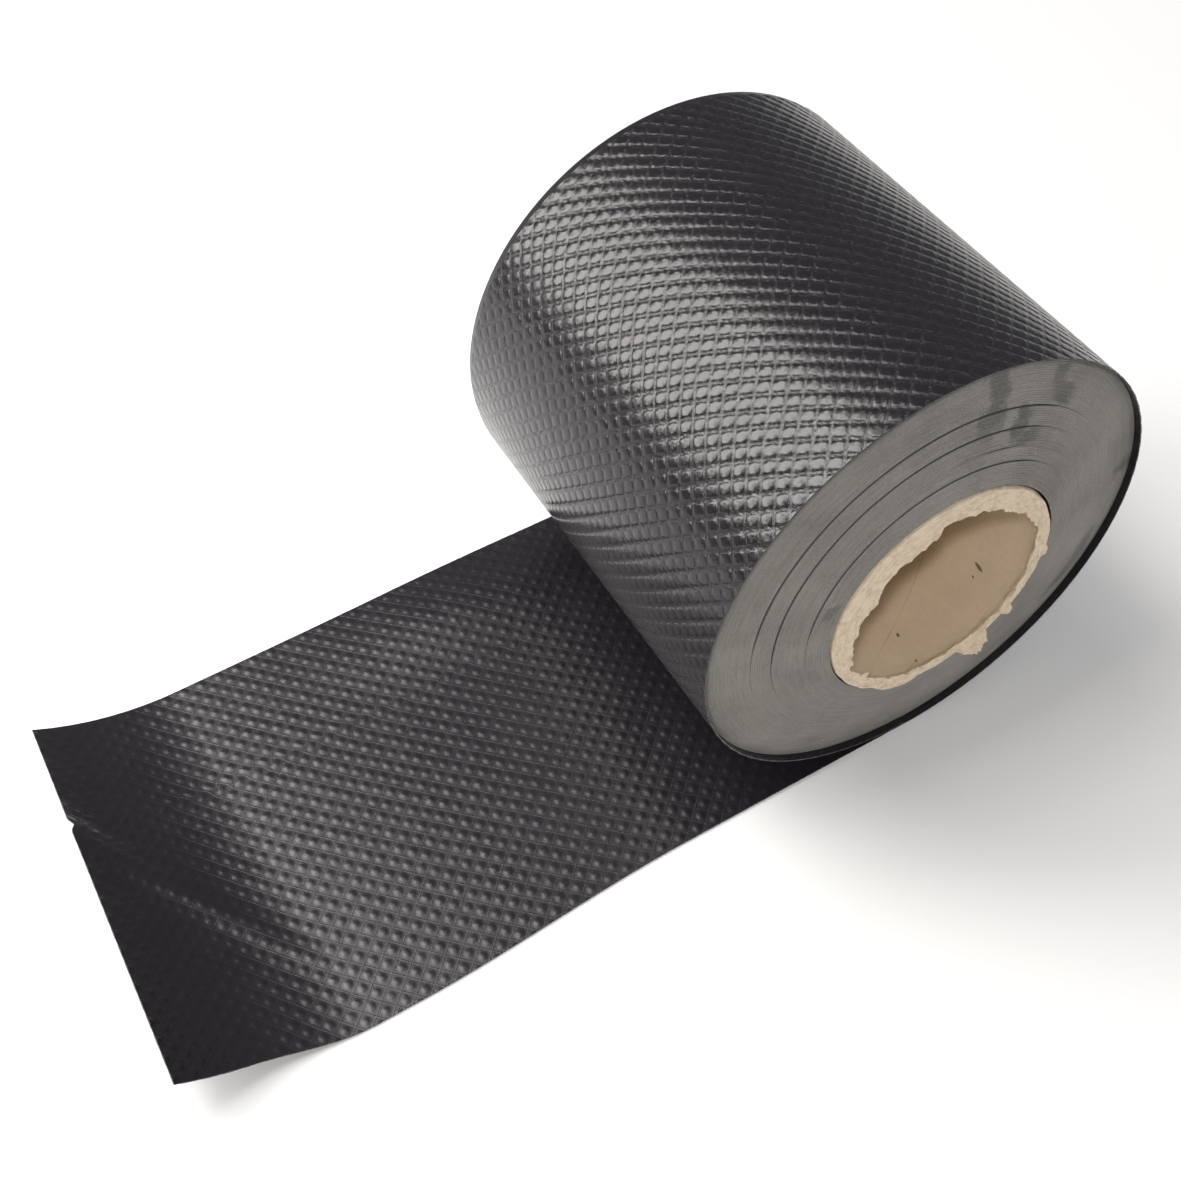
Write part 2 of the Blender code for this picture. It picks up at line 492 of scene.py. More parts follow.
def set_on_lattice(tree, given, cell):
    """Copies of the cell on two grids of points, the second half a step along and across."""
    step = given["Pitch"] * sqrt(2)
    counts = (given["Columns"], given["Rows"])
    points = add(tree, "GeometryNodeMeshGrid", *[step * (count - 1.0) for count in counts], *counts)
    shifted = add(tree, "GeometryNodeTransform", points, point(tree, step * 0.5, step * 0.5))
    copies = add(tree, "GeometryNodeInstanceOnPoints", join(tree, points, shifted), None, cell)
    copies.inputs["Rotation"].default_value = (0, 0, pi / 4)
    real = add(tree, "GeometryNodeRealizeInstances", copies)
    centre = point(tree, given["Lattice x"], given["Lattice y"])
    return weld(tree, add(tree, "GeometryNodeTransform", real, centre), WELD)


def trim_to_strip(tree, given, sheet):
    """Pull outside points back to the strip's edges, and drop the faces that this leaves with no area."""
    held = vector_maths(tree, "MAXIMUM", add(tree, "GeometryNodeInputPosition"),
                        point(tree, given["Start"], given["Near"]))
    held = vector_maths(tree, "MINIMUM", held, point(tree, given["End"], given["Far"]))
    welded = weld(tree, place_points(tree, sheet, held), 3 * WELD)
    area = add(tree, "GeometryNodeInputMeshFaceArea")
    empty = add(tree, "FunctionNodeCompare", area, 0.001 * MM * MM, data_type="FLOAT", operation="LESS_THAN")
    return add(tree, "GeometryNodeDeleteGeometry", welded, empty, domain="FACE", mode="ALL")


def relief_fields(tree, given):
    """Height of the outer face, at or under zero, and of the inner face, under the strip's thickness."""
    position = add(tree, "GeometryNodeInputPosition")
    x, y, _ = axes(tree, position)
    away = line_distances(tree, x - given["Lattice x"], y - given["Lattice y"], given["Pitch"] * sqrt(2))
    deep, shallow = [between(tree, d * given["Pitch"], low * MM, high * MM, 1.0, 0.0, "LINEAR")
                     for d, (low, high) in zip(away, (STEEP_WALL_MM, GENTLE_WALL_MM))]
    share = deep * (1.0 - shallow) + shallow * CROSS_LINE_DEPTH
    crowns = [maths(tree, "POWER", 1.0 - d * 2.0, 2.0) for d in away]
    crown = (crowns[0] + crowns[1] * CROSS_CROWN) * given["Pillow"]
    outer = share * (given["Groove depth"] * -1.0) - crown
    uneven = noise_at(tree, position, 90.0, 2.0)
    tall = given["Bump"] * between(tree, uneven, 0.3, 0.7, 0.7, 1.25)
    bump = tall * between(tree, from_cell_middle(tree, away), 0.06, 0.42, 1.0, 0.0)
    return outer, bump * -1.0 - given["Thickness"]


def at_height(tree, geometry, height, selection=None):
    x, y, _ = axes(tree, add(tree, "GeometryNodeInputPosition"))
    return place_points(tree, geometry, point(tree, x, y, height), selection)


def remember_place(tree, geometry, face):
    """Store each point's place on the strip, with 1 on the outer face and 0 on the inner one."""
    x, y, _ = axes(tree, add(tree, "GeometryNodeInputPosition"))
    return remember(tree, geometry, PLACE_NAME, point(tree, x, y, face))


def make_sheet_tree(name, cuts, both_faces):
    tree, given = new_geometry_tree(name, SHEET_LENGTHS, ("Columns", "Rows"), ("Material",))
    flat = trim_to_strip(tree, given, set_on_lattice(tree, given, make_cell(tree, given, cuts)))
    outer, inner = relief_fields(tree, given)
    walls = draw_rim(tree, remember_place(tree, at_height(tree, flat, outer), 1.0))
    sheet = at_height(tree, walls.outputs["Mesh"], inner, walls.outputs["Top"])
    if both_faces:
        inner_face = remember_place(tree, at_height(tree, flat, inner), 0.0)
        sheet = weld(tree, join(tree, sheet, add(tree, "GeometryNodeFlipFaces", inner_face)), WELD)
    real = add(tree, "GeometryNodeRealizeInstances", sheet)
    add(tree, "NodeGroupOutput", paint(tree, real, given["Material"]))
    return tree


def grow_sheet(name, start, end, cuts_mm, both_faces):
    """An embossed sheet, still flat: x is the place along the strip and y the place across it."""
    centre = ((start + end) / 2, (NEAR_EDGE + FAR_EDGE) / 2)
    lattice = [at + round((middle - at) / LATTICE_STEP) * LATTICE_STEP
               for at, middle in zip(LATTICE_PLACE, centre)]
    cuts = [[(cut - family[0]) / (family[-1] - family[0]) for cut in family] for family in cuts_mm]
    columns = 2 * ceil((end - start) / 2 / LATTICE_STEP) + 5
    rows = 2 * ceil((FAR_EDGE - NEAR_EDGE) / 2 / LATTICE_STEP) + 5
    tree = make_sheet_tree(name, cuts, both_faces)
    return grow(name, tree, start=start, end=end, near=NEAR_EDGE, far=FAR_EDGE, pitch=CELL_PITCH,
                first_cut_a=cuts_mm[0][0] * MM, first_cut_b=cuts_mm[1][0] * MM,
                lattice_x=lattice[0], lattice_y=lattice[1], thickness=STRIP_THICKNESS,
                groove_depth=GROOVE_DEPTH, pillow=PILLOW_HEIGHT, bump=BUMP_HEIGHT,
                columns=columns, rows=rows, material=POLYTHENE)


def mesh_points(mesh):
    points = np.empty(len(mesh.vertices) * 3)
    mesh.vertices.foreach_get("co", points)
    return points.reshape(-1, 3)


def set_mesh_points(mesh, points):
    mesh.vertices.foreach_set("co", points.ravel())
    mesh.update()


def count_triangles(obj):
    return sum(len(face.vertices) - 2 for face in obj.data.polygons)


print("embossing tree ready,", CELL_CUTS * CELL_CUTS, "faces in a cell")

# %% [markdown]
# ## The last turn
# What shows of the roll's side is its outermost turn, one long sheet bent round a circle. It is grown flat,
# its hidden inner side is closed with plain faces from rim to rim, and then every point is bent round the
# roll. The radius shrinks by one thickness in the turn, as on a real spiral, so its end comes to rest on
# top of the loose end, and the step where the two meet is there under the roll.

# %% The last turn
ROLL_CUTS_MM = ((-0.42, 0.42, 0.70, 2.45, 4.20, 4.48), (-0.25, 0.25, 0.80, 2.45, 4.10, 4.65))


def open_rim(bm):
    return {vert for edge in bm.edges if len(edge.link_faces) == 1 for vert in edge.verts}


def bridge_rims(bm, near, far):
    """Fill between two rows of points that run the same way, always taking the shorter step."""
    i = j = 0
    while i < len(near) - 1 or j < len(far) - 1:
        step_near = j == len(far) - 1 or (i < len(near) - 1 and near[i + 1].co.x <= far[j + 1].co.x)
        corner = near[i + 1] if step_near else far[j + 1]
        bm.faces.new((near[i], corner, far[j]))
        i, j = (i + 1, j) if step_near else (i, j + 1)


def close_inner_side(mesh):
    """Close a flat sheet's open side: a fan at each end, and long faces from edge to edge between."""
    bm = bmesh.new()
    bm.from_mesh(mesh)
    rim = open_rim(bm)
    low = min(v.co.x for v in rim)
    high = max(v.co.x for v in rim)
    tiny = 0.03 * MM
    near = sorted((v for v in rim if v.co.y < NEAR_EDGE + tiny), key=lambda v: v.co.x)
    far = sorted((v for v in rim if v.co.y > FAR_EDGE - tiny), key=lambda v: v.co.x)
    start = sorted((v for v in rim if v.co.x < low + tiny), key=lambda v: v.co.y)
    end = sorted((v for v in rim if v.co.x > high - tiny), key=lambda v: v.co.y)
    for hub, row in ((near[1], start), (near[-2], end)):
        for first, second in zip(row, row[1:]):
            bm.faces.new((hub, first, second))
    bridge_rims(bm, near[1:-1], far)
    for face in bm.faces:
        face.material_index = 0
    bmesh.ops.recalc_face_normals(bm, faces=bm.faces)
    bm.to_mesh(mesh)
    bm.free()
    mesh.materials.clear()
    mesh.materials.append(POLYTHENE)


def bend_round_roll(mesh):
    points = mesh_points(mesh)
    around = pi - points[:, 0] / ROLL_RADIUS
    radius = ROLL_RADIUS - STRIP_THICKNESS * around / (2 * pi) + points[:, 2]
    bent = np.stack([radius * np.sin(around), points[:, 1], ROLL_RADIUS - radius * np.cos(around)], axis=1)
    set_mesh_points(mesh, bent)


def smooth_with_edges(obj, angle):
    obj.data.shade_smooth()
    obj.data.set_sharp_from_angle(angle=radians(angle))


def make_last_turn():
    obj = grow_sheet("last_turn", -HALF_ROUND, HALF_ROUND, ROLL_CUTS_MM, both_faces=False)
    close_inner_side(obj.data)
    bend_round_roll(obj.data)
    smooth_with_edges(obj, 15)
    return obj


last_turn = make_last_turn()
print("last turn", count_triangles(last_turn), "triangles")

# %% [markdown]
# ## The loose end
# The strip runs out from under the roll with its bumpy inner face up. It lies flat, lifts a little off the
# floor in one low swell, and curls up at its cut end, more at the near corner than at the far one. A soft
# crease runs across it from a kink in the cut end. It could be draped with a cloth simulation, but its
# shape in the photograph is set by how it was wound, so the same flat sheet is laid along a surface that
# is written out as a sum of these few forms.

# %% The loose end
TAIL_CUTS_MM = ((0.0, 0.9, 1.9, 3.0, 4.0, 4.9),) * 2
TAIL_LENGTH_NEAR = 270.5 * MM
TAIL_LENGTH_FAR = 267.5 * MM
FLAT_NEAR = 208 * MM
FLAT_FAR = 215 * MM
CURL_RADIUS = 91 * MM
KINK = (269 * MM, 27 * MM)
NOTCH = 1.6 * MM
CREASE_END = (205 * MM, -60 * MM)
CREASE_HEIGHT = 1.1 * MM
CREASE_SPREAD = 5.0 * MM
SWELL_HEIGHT = 2.6 * MM
EDGE_BOW = 4.5 * MM


def soft_step(value, low, high):
    share = np.clip((value - low) / (high - low), 0.0, 1.0)
    return share * share * (3 - 2 * share)


def hill(x, y, centre_x, centre_y, spread_x, spread_y):
    return np.exp(-(((x - centre_x) / spread_x) ** 2 + ((y - centre_y) / spread_y) ** 2))


def crease_lift(run, y):
    """A soft ridge along the line from the kink in the cut end, dying away inwards."""
    ax, ay = KINK
    dx, dy = CREASE_END[0] - ax, CREASE_END[1] - ay
    length = sqrt(dx * dx + dy * dy)
    along = ((run - ax) * dx + (y - ay) * dy) / length
    beside = ((run - ax) * dy - (y - ay) * dx) / length
    fading = 1 - soft_step(along, 0.4 * length, length)
    return CREASE_HEIGHT * np.exp(-(beside / CREASE_SPREAD) ** 2) * fading


def laid_surface(run, y):
    """Where a point of the strip lies, from its run from under the roll and its place across."""
    share = (y - NEAR_EDGE) / STRIP_WIDTH
    flat = FLAT_NEAR + (FLAT_FAR - FLAT_NEAR) * share
    turn = np.maximum(run - flat, 0.0) / CURL_RADIUS
    x = -np.minimum(run, flat) - CURL_RADIUS * np.sin(turn)
    z = CURL_RADIUS * (1 - np.cos(turn))
    swell = SWELL_HEIGHT * hill(run, y, 105 * MM, 52 * MM, 42 * MM, 20 * MM)
    z = z + swell * soft_step(run, 20 * MM, 60 * MM)
    z = z + crease_lift(run, y)
    bow = EDGE_BOW * soft_step(run, 90 * MM, 190 * MM) * (1 - soft_step(run, 205 * MM, 245 * MM))
    return np.stack([x, y - bow * (1 - share), z], axis=-1)


def lay_on_floor(mesh):
    points = mesh_points(mesh)
    run = points[:, 0] - HALF_ROUND
    share = (points[:, 1] - NEAR_EDGE) / STRIP_WIDTH
    length = TAIL_LENGTH_NEAR + (TAIL_LENGTH_FAR - TAIL_LENGTH_NEAR) * share
    y = points[:, 1]
    length = length - NOTCH * np.exp(-((y - KINK[1]) / (1.8 * MM)) ** 2)
    run = run * length / TAIL_LENGTH_NEAR
    base = laid_surface(run, y)
    probe = 0.5 * MM
    along = laid_surface(run + probe, y) - laid_surface(run - probe, y)
    across = laid_surface(run, y + probe) - laid_surface(run, y - probe)
    up = np.cross(across, along)
    up /= np.linalg.norm(up, axis=1, keepdims=True)
    height = -points[:, 2:3]
    pressed = soft_step(run, 5 * MM, 14 * MM)[:, None]
    height = np.minimum(height, STRIP_THICKNESS) + np.maximum(height - STRIP_THICKNESS, 0.0) * pressed
    set_mesh_points(mesh, base + up * height)


def face_outwards(mesh):
    bm = bmesh.new()
    bm.from_mesh(mesh)
    bmesh.ops.recalc_face_normals(bm, faces=bm.faces)
    bm.to_mesh(mesh)
    bm.free()


def make_loose_end():
    obj = grow_sheet("loose_end", HALF_ROUND, HALF_ROUND + TAIL_LENGTH_NEAR, TAIL_CUTS_MM, both_faces=True)
    lay_on_floor(obj.data)
    face_outwards(obj.data)
    smooth_with_edges(obj, 60)
    return obj


loose_end = make_loose_end()
print("loose end", count_triangles(loose_end), "triangles")

# %% [markdown]
# ## The ends of the wound turns
# On its ends the roll shows the cut edge of every turn: a dusty grey disc, close to flat, that is really one
# spiral groove 77 turns long. It could be a disc with a bump map, but the grooves catch real shadow, and the
# inner turns have been pushed out of the showing end, so the disc is a shallow cone. The tree starts from
# one long narrow grid, as the strip's edge would be if it were pulled straight, and winds it up: the row
# across it gives the edge's rounded section, and the place along it gives the angle and the radius. Where
# the winding was slack, the groove opens into a gap for part of a turn. Shade is also painted into the edge
# colour on top of the real shadow: darker along every groove, and nearly black in the slack gaps.

# %% The winding tree
TURNS = 76
TURN_SEGMENTS = 120
TURN_ROWS = 4
SHOWING_LEVEL = -STRIP_WIDTH / 2
FAR_LEVEL = STRIP_WIDTH / 2
INNER_PUSH = 9.3 * MM
TURNS_OUTER = ROLL_RADIUS - STRIP_THICKNESS
TURNS_INNER = CORE_RADIUS + 0.3 * MM
TURN_PITCH = (TURNS_OUTER - TURNS_INNER) / (TURNS + 1)
# Slack places: how many turns in each begins, and how much of a turn it lasts
SLACK_GAPS = ((29.35, 0.46), (41.36, 0.47), (52.38, 0.18), (61.35, 0.46))
# How far each part of the end is pushed out of the showing end: share of the way in, then share of the push
PUSH_CURVE = ((0.16, 0.10), (0.41, 0.40), (0.56, 0.58), (0.85, 0.87))
PUSH_START = -0.4 * MM
TURN_GROOVE = 0.24 * MM
TURN_UNEVENNESS = 0.5 * MM
# Where the rows of the grid lie across a turn, as shares of a turn. The last one laps over the next turn.
ROW_SHARES = (0.0, 0.15, 0.85, 1.15)
# A slack place in shares of a turn, in depths of a plain groove, and how much of its painted dark shade the
# rows beside it take
GAP_SPREAD = 0.42
GAP_DEPTH = 7.0
GAP_SHADE_BESIDE = 0.4
TURN_NAME = "turn_place"
TURN_LENGTHS = ("Outer radius", "Inner radius", "Turn pitch", "Near", "Far", "Push", "Push start", "Groove",
                "Unevenness")


def stored(tree, name):
    node = add(tree, "GeometryNodeInputNamedAttribute", data_type="FLOAT_VECTOR")
    node.inputs["Name"].default_value = name
    return first_open(node.outputs)


def near_row(tree, row, at):
    """1 on one row of the grid and 0 on the others."""
    return maths(tree, "SUBTRACT", 1.0, maths(tree, "ABSOLUTE", row - float(at)), clamp=True)


def slackness(tree, turn):
    """How open the groove is that lies this many turns in: 0 where the winding is tight."""
    gaps = []
    for start, span in SLACK_GAPS:
        closes = between(tree, turn, start + span - 0.12, start + span, 1.0, 0.0)
        gaps.append(between(tree, turn, start, start + 0.08) * closes)
    return sum(gaps[1:], gaps[0])


def edge_fields(tree, given, turn, row):
    """Radius, angle, groove depth and slackness of a point, from its turn and its row; the slackness is also
    the mask of painted shade in the gaps.
    """
    rows = [near_row(tree, row, at) for at in range(TURN_ROWS)]
    slack_out = slackness(tree, turn)
    slack_in = slackness(tree, turn + 1.0)
    share = rows[1] * ROW_SHARES[1] + rows[2] * ROW_SHARES[2] + rows[3] * ROW_SHARES[3]
    share = share + rows[1] * slack_out * GAP_SPREAD - rows[2] * slack_in * GAP_SPREAD
    radius = given["Outer radius"] - (turn + share) * given["Turn pitch"]
    slack = rows[0] * slack_out + rows[3] * slack_in
    depth = rows[0] + rows[3] + slack * GAP_DEPTH
    # Painted shade only: the gap's dark colour spreads a little onto the rows beside it, and no point moves
    slack = slack + (rows[1] * slack_out + rows[2] * slack_in) * GAP_SHADE_BESIDE
    return radius, turn * (2 * pi), depth * given["Groove"], slack


def end_place(tree, given, level, into):
    """A point's place on one end of the roll. Its grooves and steps go into the roll."""
    turn, row, _ = axes(tree, stored(tree, TURN_NAME))
    radius, angle, depth, _ = edge_fields(tree, given, turn, row)
    way_in = (given["Outer radius"] - radius) / (given["Outer radius"] - given["Inner radius"])
    push = through_curve(tree, way_in, PUSH_CURVE, straight=False) * given["Push"] + given["Push start"]
    step = (noise_at(tree, point(tree, turn), 0.55, 4.0, 0.75) - 0.5) * given["Unevenness"]
    y = given[level] + step - push + depth * into
    x = radius * maths(tree, "SINE", angle)
    return point(tree, x, y, ROLL_RADIUS - radius * maths(tree, "COSINE", angle))


def make_turns_tree():
    materials = ("Material", "Side material")
    tree, given = new_geometry_tree("wound turns", TURN_LENGTHS, ("Turns", "Segments"), materials)
    grid = add(tree, "GeometryNodeMeshGrid", 1.0, 1.0, given["Turns"] * given["Segments"] + 1.0, TURN_ROWS)
    x, y, _ = axes(tree, add(tree, "GeometryNodeInputPosition"))
    turn, row = (x + 0.5) * given["Turns"], (y + 0.5) * (TURN_ROWS - 1.0)
    # The third number stored with each place is the mask of painted shade in the slack gaps
    place = point(tree, turn, row, edge_fields(tree, given, turn, row)[3])
    marked = remember(tree, remember(tree, grid, TURN_NAME, place), PLACE_NAME, place, "CORNER")
    near = weld(tree, place_points(tree, marked, end_place(tree, given, "Near", 1.0)), 2 * WELD)
    sides = draw_rim(tree, near)
    far_place = end_place(tree, given, "Far", -1.0)
    near = place_points(tree, sides.outputs["Mesh"], far_place, sides.outputs["Top"])
    near = paint(tree, paint(tree, near, given["Material"]), given["Side material"], sides.outputs["Side"])
    far = add(tree, "GeometryNodeFlipFaces", place_points(tree, marked, far_place))
    whole = weld(tree, join(tree, near, paint(tree, far, given["Material"])), 2 * WELD)
    add(tree, "NodeGroupOutput", add(tree, "GeometryNodeRealizeInstances", whole))
    return tree


print("winding tree next:", TURNS, "turns of", round(TURN_PITCH / MM, 3), "mm")

# %% [markdown]
# ## Dusty cut edges, with painted groove shade
# The cut edges have picked up dust, so the ends are grey and dull where the strip's faces are black and
# glossy. Two patterns are layered. Streaks run along the turns, and are drawn on the place along the strip,
# so each turn has its own. Smudges, where a hand or the floor has rubbed the dust away, are larger than a
# turn, and are drawn on the object's own coordinates. Shade is painted over both: the colour is darker along
# the grooves between turns, and nearly black in the slack gaps and a little beside them.

# %% Dusty edges and painted groove shade
# Rubbed marks: angle in degrees from the bottom, radius in mm, half their span in degrees and in mm
SMUDGES = ((168, 70, 3.4, 10), (171, 62, 2.4, 6), (158, 62, 2.6, 6), (153, 57, 5, 2.4), (145, 70, 5.5, 3),
           (149, 75, 2.6, 4), (248, 44.5, 5, 2.2), (92, 77, 3, 5), (60, 75, 12, 3))
BLACK_EDGE = (0.035, 0.033, 0.034, 1.0)
DUST = (0.34, 0.321, 0.29, 1.0)
DUST_LEVEL = 0.66
RUBBED_OFF = 0.38
PALE_SPECK = (0.55, 0.55, 0.52, 1.0)


def round_the_end(tree, here):
    """A point's angle from the bottom of the roll, in degrees, and its radius in mm."""
    x, _, z = axes(tree, here)
    rise = ROLL_RADIUS - z
    angle = maths(tree, "WRAP", maths(tree, "ARCTAN2", x, rise) * (180 / pi), 360.0, 0.0)
    length = vector_maths(tree, "LENGTH", point(tree, x, rise)).outputs["Value"]
    return angle, Value(tree, length) * (1 / MM)


def smudge(tree, angle, radius, mark):
    """1 in the middle of a rubbed mark and 0 outside it."""
    at_angle, at_radius, span, depth = [float(size) for size in mark]
    round_it = maths(tree, "ABSOLUTE", (angle - at_angle) / span)
    across_it = maths(tree, "ABSOLUTE", (radius - at_radius) / depth)
    away = maths(tree, "POWER", round_it, 2.0) + maths(tree, "POWER", across_it, 4.0)
    return between(tree, away, 0.0, 1.7, 1.0, 0.0)


def rubbed_share(tree, here, angle, radius, clouds):
    """How much of the dust the smudges have taken, with ragged borders."""
    wander = noise_at(tree, here, 160, 4.0, 0.7)
    angle = angle + between(tree, wander, 0.3, 0.7, -2.2, 2.2, "LINEAR")
    radius = radius + between(tree, clouds, 0.3, 0.7, -2.5, 2.5, "LINEAR")
    most = smudge(tree, angle, radius, SMUDGES[0])
    for mark in SMUDGES[1:]:
        most = maths(tree, "MAXIMUM", most, smudge(tree, angle, radius, mark))
    return most * between(tree, clouds, 0.35, 0.55, 0.35, 1.0)


def make_dusty_edges_and_groove_shade():
    material, tree, shader = new_material("dusty_cut_edges")
    turn, row, slack = axes(tree, stored_place(tree))
    here = add(tree, "ShaderNodeTexCoord").outputs["Object"]
    angle, radius = round_the_end(tree, here)
    streaks = noise_at(tree, point(tree, turn * 26.0, radius * 1.1), 1.0, 4.0, 0.6)
    clouds = noise_at(tree, here, 38, 5.0, 0.6)
    grains = noise_at(tree, here, 1500, 3.0, 0.6)
    dust = between(tree, streaks, 0.28, 0.72, -0.12, 0.12, "LINEAR") + DUST_LEVEL
    dust = dust + between(tree, clouds, 0.3, 0.7, -0.13, 0.13, "LINEAR")
    dust = dust + between(tree, grains, 0.3, 0.7, -0.10, 0.10, "LINEAR")
    dust = dust - rubbed_share(tree, here, angle, radius, clouds) * RUBBED_OFF
    dust = maths(tree, "MINIMUM", maths(tree, "MAXIMUM", dust, 0.05), 1.0)
    # Painted shade: the colour is darker along the grooves between turns, rows 0 and 3
    dust = dust * between(tree, maths(tree, "ABSOLUTE", row - 1.5), 0.55, 1.45, 1.0, 0.72)
    # Painted shade: the slack gaps, and a little of the rows beside them, go nearly black
    dust = dust * between(tree, slack, 0.30, 0.48, 1.0, 0.05)
    specks = between(tree, noise_at(tree, here, 700, 1.0), 0.80, 0.84)
    colour = mix_colours(tree, specks, mix_colours(tree, dust, BLACK_EDGE, DUST), PALE_SPECK)
    plug(tree, colour, shader.inputs["Base Color"])
    shader.inputs["Roughness"].default_value = 0.62
    shader.inputs["Specular IOR Level"].default_value = 0.4
    add_bump(tree, shader, streaks + grains * 0.3, 0.08 * MM)
    return material


DUSTY_EDGES_AND_GROOVE_SHADE = make_dusty_edges_and_groove_shade()
print("material", DUSTY_EDGES_AND_GROOVE_SHADE.name)

# %% [markdown]
# ## The wound turns
# Everything inside the last turn is one ring of about 77 turns. Its Geometry Nodes tree was built above; here
# it gets the roll's real sizes. The ring's edges are what show on both ends of the roll, so they get the
# dusty edge material with its painted groove shade, and its hidden round side gets the plain polythene.

# %% The wound turns


def make_wound_turns():
    obj = grow("wound_turns", make_turns_tree(), outer_radius=TURNS_OUTER, turn_pitch=TURN_PITCH,
               inner_radius=TURNS_INNER, near=SHOWING_LEVEL, far=FAR_LEVEL, push=INNER_PUSH,
               push_start=PUSH_START, groove=TURN_GROOVE, unevenness=TURN_UNEVENNESS, turns=TURNS,
               segments=TURN_SEGMENTS, material=DUSTY_EDGES_AND_GROOVE_SHADE, side_material=POLYTHENE)
    face_outwards(obj.data)
    smooth_with_edges(obj, 70)
    return obj


wound_turns = make_wound_turns()
print("wound turns", count_triangles(wound_turns), "triangles")

# %% [markdown]
# ## Torn cardboard
# The core is a tube of many thin plies of kraft paper, wound on a slant and glued. At the showing end it
# wasn't cut but sawn and torn: its rim is a ragged ring of pale fibres, folded inwards over the bore in
# places, with a flap pushed outwards at the lower right. A plain tube is a Screw or a cylinder, but a torn
# rim needs every point moved by itself, so the tube is a grid of points: one row per point of its section,
# one column per step round. Each column moves by smooth noise taken on a circle, so the rim closes on
# itself.

# %% The core's section
CORE_STEPS = 600
CORE_WALL = 3 * MM
BORE_MM = (CORE_RADIUS - CORE_WALL) / MM
CORE_MM = CORE_RADIUS / MM
NEAR_MM = CORE_LOW[1] / MM
FAR_MM = CORE_HIGH[1] / MM
TORN_NAME = "torn"
TOP_ROWS = 16
UNDER_ROWS = 6
# Round the rim from the bottom, in degrees: how far the torn plies reach in over the bore, and how far
# they stand out of it, both in mm
TEARS = ((0, 1.8, 0.6), (12, 2.2, 0.8), (30, 1.6, 0.6), (50, 1.0, 0.6), (66, 1.3, 0.5), (80, 3.0, 0.4),
         (95, 2.4, 0.4), (104, 1.5, 0.3), (111, 3.8, 0.6), (125, 4.4, 0.9), (141, 4.7, 1.2), (155, 4.4, 1.2),
         (170, 3.9, 1.0), (187, 3.4, 0.9), (193, 5.6, 1.6), (210, 5.8, 1.7), (220, 4.7, 1.4), (232, 5.6, 1.8),
         (240, 7.0, 2.2), (248, 5.4, 1.8), (262, 4.6, 1.6), (280, 3.6, 1.2), (290, 3.2, 0.8), (296, 1.4, 0.5),
         (307, 1.2, 0.4), (311, 3.4, 0.7), (315, 1.5, 0.4), (330, 1.8, 0.6), (345, 1.9, 0.7), (360, 1.8, 0.6))
# Plies bent outwards: angle, half its width in degrees, how far it stands out and how far it leans outwards
FLAPS = ((24.5, 8.5, 3.7, 1.4), (46, 3.2, 1.5, 0.9), (82, 4.0, 0.8, 0.5), (340, 14, 0.8, 0.7))
# The place where the rim is crushed: angle, half its width in degrees, and its depth in mm
CRUSH_ANGLE, CRUSH_SPREAD, CRUSH_DEPTH = (140, 50, 0.35)
# How far the raggedness moves the plies, in mm: along their reach, out of the rim, and across it
RAGGED_REACH = 1.05
RAGGED_LIFT = 0.55
RAGGED_RADIUS = 0.28


def tear_at(degrees):
    """Reach and lift of the torn plies at an angle, eased between the places written out above."""
    for (a0, reach0, lift0), (a1, reach1, lift1) in zip(TEARS, TEARS[1:]):
        if a0 <= degrees <= a1:
            share = soft_step(degrees, a0, a1)
            return reach0 + (reach1 - reach0) * share, lift0 + (lift1 - lift0) * share
    return TEARS[0][1:]


def ring_noise(angle, across, frequency, seed):
    """Noise that closes on itself round the rim, from about -1 to 1."""
    return noise.noise(Vector((cos(angle) * frequency, sin(angle) * frequency, across + seed)))


def ragged(angle, across, seed):
    total = 0.0
    for octave in range(4):
        layer = ring_noise(angle, across * 2 ** octave, 6.0 * 2.3 ** octave, seed + 7.3 * octave)
        total += layer * 0.62 ** octave
    return total


def flap_at(degrees, share):
    """How far a ply that is bent outwards stands out and leans out at this angle and share of the rim."""
    out = lean = 0.0
    for centre, half_width, stands, leans in FLAPS:
        off = abs(degrees - centre) / half_width
        if off < 1:
            shape = (1 - off ** 3) * (1 - soft_step(share, 0.25, 0.85))
            shape *= 1 + 0.3 * noise.noise((degrees, centre, 0))
            out += stands * shape
            lean += leans * shape
    return out, lean


def rim_point(angle, share, under):
    """A point of the torn rim as (radius, y) in mm: from its outer edge to its tip, or back under the tip."""
    degrees = angle * 180 / pi
    reach, lift = tear_at(degrees)
    reach = max(0.3, reach + RAGGED_REACH * ragged(angle, 0.0, 11.0))
    rough = ragged(angle, share * 3.1, 23.0)
    out, lean = flap_at(degrees, share)
    crush = CRUSH_DEPTH * max(0.0, 1 - abs(degrees - CRUSH_ANGLE) / CRUSH_SPREAD)
    width = CORE_WALL / MM + reach - crush
    if under:
        radius = BORE_MM - reach * share
        depth = 2.6 - 2.1 * share ** 0.5 - (lift + 0.25) * share
        return radius + 0.15 * rough, NEAR_MM + depth
    stands = 0.3 + lift * share ** 1.4 + RAGGED_LIFT * rough * soft_step(share, 0.0, 0.12) + out
    radius = CORE_MM - crush - 0.25 * (1 - soft_step(share, 0.0, 0.06)) - width * share + lean
    return radius + RAGGED_RADIUS * ragged(angle, share * 5.0, 57.0), NEAR_MM - stands


